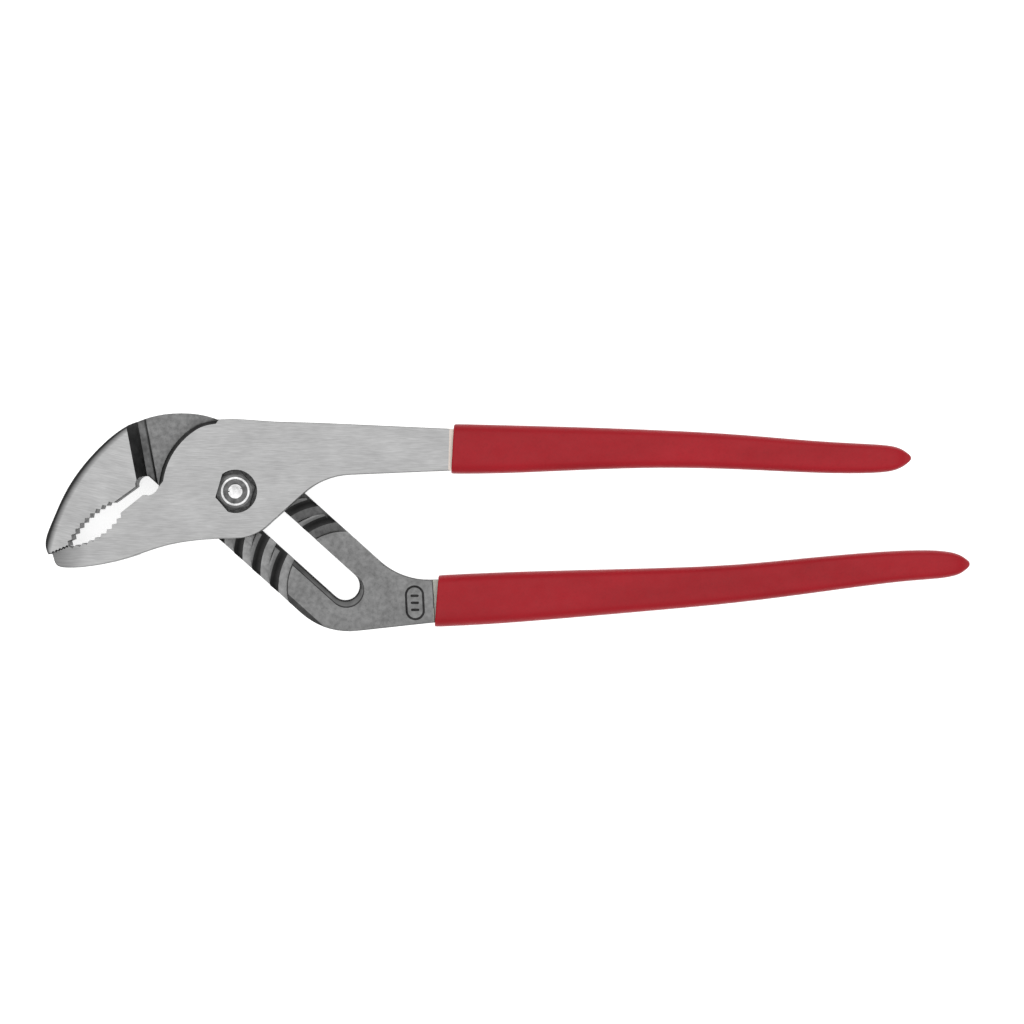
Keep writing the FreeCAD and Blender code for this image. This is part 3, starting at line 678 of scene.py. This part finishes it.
# ---------------------------------------------------------------- bench, light and camera
# The tool lies on a white acrylic table that glows from below, under one large softbox
# in a pale studio.
bpy.ops.object.select_all(action="DESELECT")
BENCH_SIZE, BENCH_GLOW = 6.0, 0.72
bpy.ops.mesh.primitive_plane_add(size=BENCH_SIZE, location=(70 * MM, 0, -0.02 * MM))
bench = bpy.context.active_object
bench.name = "bench"
acrylic, acrylic_shader = new_material("lit_acrylic", 0.9, metallic=0.0)
acrylic.node_tree.links.new(ramp(acrylic, grain(acrylic, 0.3), 0.60, 0.62),
                            acrylic_shader.inputs["Base Color"])
acrylic_shader.inputs["Emission Color"].default_value = (1, 1, 1, 1)
acrylic_shader.inputs["Emission Strength"].default_value = BENCH_GLOW
bench.data.materials.append(acrylic)

world = bpy.data.worlds.new("studio")
bpy.context.scene.world = world
world.use_nodes = True
world.node_tree.nodes["Background"].inputs["Color"].default_value = (1, 1, 1, 1)
world.node_tree.nodes["Background"].inputs["Strength"].default_value = 1.0
SOFTBOX_WIDTH, SOFTBOX_DEPTH, SOFTBOX_WATTS = 2.4, 2.0, 20
softbox = bpy.data.lights.new("softbox", "AREA")
softbox.shape, softbox.energy = "RECTANGLE", SOFTBOX_WATTS
softbox.size, softbox.size_y = SOFTBOX_WIDTH, SOFTBOX_DEPTH
lamp = bpy.data.objects.new("softbox", softbox)
lamp.location = (0.0, 0.2, 1.6)
aim = Vector((60 * MM, 0, 0)) - lamp.location
lamp.rotation_euler = aim.to_track_quat("-Z", "Y").to_euler()
bpy.context.scene.collection.objects.link(lamp)

VIEW_WIDTH, VIEW_DISTANCE = 279.86 * MM, 1.0   # the width seen at that distance
VIEW_MIDDLE = (75.6 * MM, -5.65 * MM)
camera = bpy.data.objects.new("camera", bpy.data.cameras.new("camera"))
camera.location = (*VIEW_MIDDLE, FRONT_TOP + VIEW_DISTANCE)
camera.data.lens = camera.data.sensor_width * VIEW_DISTANCE / VIEW_WIDTH
bpy.context.scene.collection.objects.link(camera)
bpy.context.scene.camera = camera
bpy.context.scene.view_settings.view_transform = "Standard"
